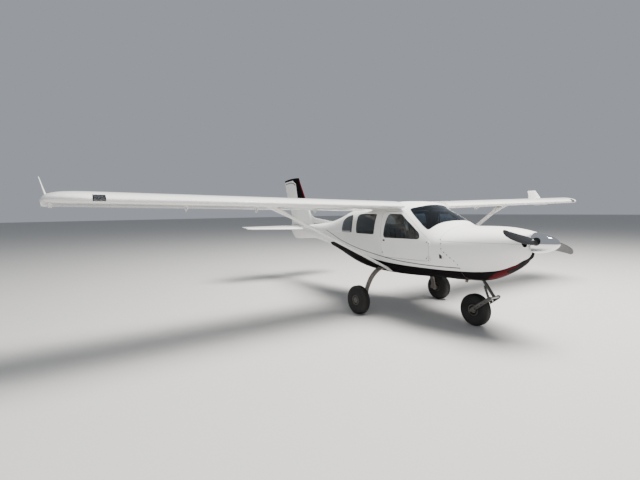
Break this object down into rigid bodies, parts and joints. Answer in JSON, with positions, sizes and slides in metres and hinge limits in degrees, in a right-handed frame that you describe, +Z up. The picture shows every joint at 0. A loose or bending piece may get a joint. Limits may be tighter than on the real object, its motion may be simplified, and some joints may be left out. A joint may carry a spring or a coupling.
{
  "type": "light sport aircraft",
  "caption": "High-wing light sport aircraft on tricycle gear, with opening doors, flaps, ailerons, elevator, rudder, steered nose wheel and a turning propeller.",
  "frame": {"origin": "on the ground, under the middle of the bounding box", "axes": "+X to the nose, +Y to port, +Z up"},
  "size_m": [6.448, 9.618, 2.3168],
  "materials": {
    "white_paint": "gloss white paint on composite skin",
    "glazing": "clear, dark inside",
    "lamp_glass": "clear lens",
    "gear_steel": "satin",
    "engine_iron": "cast",
    "tyre_rubber": "matt",
    "rim_metal": "satin dark",
    "spinner_chrome": "polished",
    "blade_composite": "satin dark grey",
    "seat_fabric": "woven",
    "cabin_trim": "grained"
  },
  "bodies": {
    "airframe": {"cabin_shell": "white_paint", "windshield": "glazing", "window_right_mid": "glazing", "window_right_aft": "glazing", "window_left_aft": "glazing", "tail_cone": "white_paint", "cowl_upper": "white_paint", "cowl_lower": "white_paint", "firewall": "gear_steel", "engine": "engine_iron", "exhaust": "gear_steel", "wing_right": "white_paint", "wing_left": "white_paint", "strut_right": "white_paint", "strut_left": "white_paint", "winglet_right": "white_paint", "winglet_left": "white_paint", "landing_light_right": "lamp_glass", "landing_light_left": "lamp_glass", "fin": "white_paint", "tailplane_right": "white_paint", "tailplane_left": "white_paint", "main_leg_right": "gear_steel", "main_leg_left": "gear_steel", "brake_right": "gear_steel", "brake_left": "gear_steel", "cabin_floor": "cabin_trim", "seat_right": "seat_fabric", "seat_left": "seat_fabric", "instrument_panel": "cabin_trim", "control_stick": "cabin_trim"},
    "door_right": {"door_right": "white_paint", "door_right_glass": "glazing"},
    "door_left": {"door_left": "white_paint", "door_left_glass": "glazing"},
    "door_rear_left": {"door_rear_left": "white_paint", "door_rear_left_glass": "glazing"},
    "flap_right": {"flap_right": "white_paint"},
    "flap_left": {"flap_left": "white_paint"},
    "aileron_right": {"aileron_right": "white_paint"},
    "aileron_left": {"aileron_left": "white_paint"},
    "elevator": {"elevator": "white_paint"},
    "rudder": {"rudder": "white_paint"},
    "nose_gear": {"nose_leg": "gear_steel", "nose_fork": "gear_steel", "nose_shock": "gear_steel"},
    "nose_wheel": {"nose_wheel": "rim_metal", "nose_tyre": "tyre_rubber"},
    "wheel_right": {"wheel_right": "rim_metal", "tyre_right": "tyre_rubber"},
    "wheel_left": {"wheel_left": "rim_metal", "tyre_left": "tyre_rubber"},
    "propeller": {"propeller": "blade_composite", "spinner": "spinner_chrome"}
  },
  "joints": [
    {"name": "door_right_hinge", "type": "hinge", "parent": "airframe", "child": "door_right", "pos_m": [1.853, -0.592, 1], "axis": [0, 0, 1], "range_deg": [0, 75]},
    {"name": "door_left_hinge", "type": "hinge", "parent": "airframe", "child": "door_left", "pos_m": [1.853, 0.592, 1], "axis": [0, 0, -1], "range_deg": [0, 75]},
    {"name": "door_rear_left_hinge", "type": "hinge", "parent": "airframe", "child": "door_rear_left", "pos_m": [0.893, 0.607, 1.2], "axis": [0, 0, -1], "range_deg": [0, 75]},
    {"name": "flap_left_hinge", "type": "hinge", "parent": "airframe", "child": "flap_left", "pos_m": [0.548, 2, 1.6254], "axis": [0, -0.9998, -0.0222], "range_deg": [0, 35]},
    {"name": "flap_right_hinge", "type": "hinge", "parent": "airframe", "child": "flap_right", "pos_m": [0.548, -2, 1.6254], "axis": [0, -0.9998, 0.0222], "range_deg": [0, 35]},
    {"name": "aileron_left_hinge", "type": "hinge", "parent": "airframe", "child": "aileron_left", "pos_m": [0.548, 4, 1.6698], "axis": [0, -0.9998, -0.0222], "range_deg": [-18, 18]},
    {"name": "aileron_right_hinge", "type": "hinge", "parent": "airframe", "child": "aileron_right", "pos_m": [0.548, -4, 1.6698], "axis": [0, -0.9998, 0.0222], "range_deg": [-18, 18]},
    {"name": "elevator_hinge", "type": "hinge", "parent": "airframe", "child": "elevator", "pos_m": [-2.636, 0, 1.20094], "axis": [0, -1, 0], "range_deg": [-28, 20]},
    {"name": "nose_steer", "type": "hinge", "parent": "airframe", "child": "nose_gear", "pos_m": [2.264, 0, 0.5], "axis": [0, 0, 1], "range_deg": [-18, 18]},
    {"name": "rudder_hinge", "type": "hinge", "parent": "airframe", "child": "rudder", "pos_m": [-2.649, 0, 1.87], "axis": [-0.1772, 0, 0.9842], "range_deg": [-25.3, 25.3]},
    {"name": "nose_wheel_spin", "type": "hinge", "parent": "nose_gear", "child": "nose_wheel", "pos_m": [2.157, 0, 0.215], "axis": [0, 1, 0], "continuous": true},
    {"name": "wheel_right_spin", "type": "hinge", "parent": "airframe", "child": "wheel_right", "pos_m": [0.764, -0.891, 0.215], "axis": [0, 1, 0], "continuous": true},
    {"name": "wheel_left_spin", "type": "hinge", "parent": "airframe", "child": "wheel_left", "pos_m": [0.764, 0.891, 0.215], "axis": [0, 1, 0], "continuous": true},
    {"name": "propeller_spin", "type": "hinge", "parent": "airframe", "child": "propeller", "pos_m": [3.012, 0, 1.161], "axis": [1, 0, 0], "continuous": true}
  ],
  "couplings": [
    {"joint": "flap_right_hinge", "follows": "flap_left_hinge", "ratio": 1},
    {"joint": "aileron_right_hinge", "follows": "aileron_left_hinge", "ratio": -1},
    {"joint": "rudder_hinge", "follows": "nose_steer", "ratio": -1.4}
  ]
}
